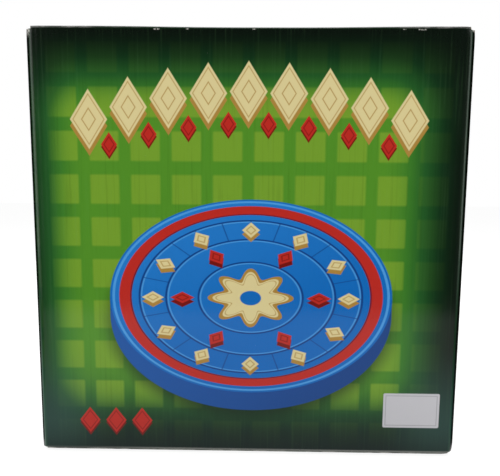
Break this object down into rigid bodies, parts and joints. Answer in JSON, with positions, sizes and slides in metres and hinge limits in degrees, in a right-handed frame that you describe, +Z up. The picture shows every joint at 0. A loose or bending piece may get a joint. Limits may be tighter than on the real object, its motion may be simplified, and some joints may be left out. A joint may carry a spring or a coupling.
{
  "type": "word board game",
  "caption": "Square glossy printed carton with a tuck lid at each end, holding a raised-cell play board, letter tiles seated on its cells and tile racks in its hollow.",
  "frame": {"origin": "middle of the carton's base", "axes": "+Z up, +X across the carton's width to the right as the pictured back panel is seen, +Y through its depth away from the viewer; the back panel faces -Y"},
  "size_m": [0.27, 0.0528, 0.27],
  "materials": {
    "printed_card": "gloss-coated green print on thin corrugated card",
    "flap_card": "gloss-coated dark print on thin corrugated card",
    "plain_card": "bare grey-brown card",
    "blue_plastic": "moulded, satin",
    "red_plastic": "moulded, satin",
    "cream_plastic": "moulded, fine satin"
  },
  "bodies": {
    "carton": {"front_panel": "printed_card", "back_panel": "printed_card", "left_side_panel": "printed_card", "right_side_panel": "printed_card", "glue_flap": "plain_card"},
    "top_lid": {"top_lid_panel": "printed_card"},
    "top_tuck": {"top_tuck_flap": "flap_card"},
    "top_left_dust": {"top_left_dust_flap": "flap_card"},
    "top_right_dust": {"top_right_dust_flap": "flap_card"},
    "bottom_lid": {"bottom_lid_panel": "printed_card"},
    "bottom_tuck": {"bottom_tuck_flap": "flap_card"},
    "bottom_left_dust": {"bottom_left_dust_flap": "flap_card"},
    "bottom_right_dust": {"bottom_right_dust_flap": "flap_card"},
    "contents": {"game_board": "blue_plastic", "tile_rack_1": "red_plastic", "tile_rack_2": "red_plastic", "tile_rack_3": "red_plastic", "tile_rack_4": "red_plastic", "letter_tiles_row_01": "cream_plastic", "letter_tiles_row_02": "cream_plastic", "letter_tiles_row_03": "cream_plastic", "letter_tiles_row_04": "cream_plastic", "letter_tiles_row_05": "cream_plastic", "letter_tiles_row_06": "cream_plastic", "letter_tiles_row_07": "cream_plastic", "letter_tiles_row_08": "cream_plastic", "letter_tiles_row_09": "cream_plastic", "letter_tiles_row_10": "cream_plastic"}
  },
  "joints": [
    {"name": "top_lid_hinge", "type": "hinge", "parent": "carton", "child": "top_lid", "pos_m": [0, 0.02635, 0.27], "axis": [-1, 0, 0], "range_deg": [0, 200]},
    {"name": "top_tuck_hinge", "type": "hinge", "parent": "top_lid", "child": "top_tuck", "pos_m": [0, -0.02465, 0.27], "axis": [-1, 0, 0], "range_deg": [0, 30]},
    {"name": "top_left_dust_hinge", "type": "hinge", "parent": "carton", "child": "top_left_dust", "pos_m": [-0.135, 0, 0.2683], "axis": [0, -1, 0], "range_deg": [0, 80]},
    {"name": "top_right_dust_hinge", "type": "hinge", "parent": "carton", "child": "top_right_dust", "pos_m": [0.135, 0, 0.2683], "axis": [0, 1, 0], "range_deg": [0, 80]},
    {"name": "bottom_lid_hinge", "type": "hinge", "parent": "carton", "child": "bottom_lid", "pos_m": [0, 0.02635, 0], "axis": [1, 0, 0], "range_deg": [0, 200]},
    {"name": "bottom_tuck_hinge", "type": "hinge", "parent": "bottom_lid", "child": "bottom_tuck", "pos_m": [0, -0.02465, 0], "axis": [1, 0, 0], "range_deg": [0, 30]},
    {"name": "bottom_left_dust_hinge", "type": "hinge", "parent": "carton", "child": "bottom_left_dust", "pos_m": [-0.135, 0, 0.0017], "axis": [0, 1, 0], "range_deg": [0, 80]},
    {"name": "bottom_right_dust_hinge", "type": "hinge", "parent": "carton", "child": "bottom_right_dust", "pos_m": [0.135, 0, 0.0017], "axis": [0, -1, 0], "range_deg": [0, 80]},
    {"name": "contents_slide", "type": "slide", "parent": "carton", "child": "contents", "axis": [0, 0, 1], "range_m": [0, 0.018]}
  ],
  "couplings": [
    {"joint": "top_tuck_hinge", "follows": "top_lid_hinge", "ratio": 0.15},
    {"joint": "top_left_dust_hinge", "follows": "top_lid_hinge", "ratio": 0.4},
    {"joint": "top_right_dust_hinge", "follows": "top_lid_hinge", "ratio": 0.4},
    {"joint": "bottom_tuck_hinge", "follows": "bottom_lid_hinge", "ratio": 0.15},
    {"joint": "bottom_left_dust_hinge", "follows": "bottom_lid_hinge", "ratio": 0.4},
    {"joint": "bottom_right_dust_hinge", "follows": "bottom_lid_hinge", "ratio": 0.4}
  ]
}
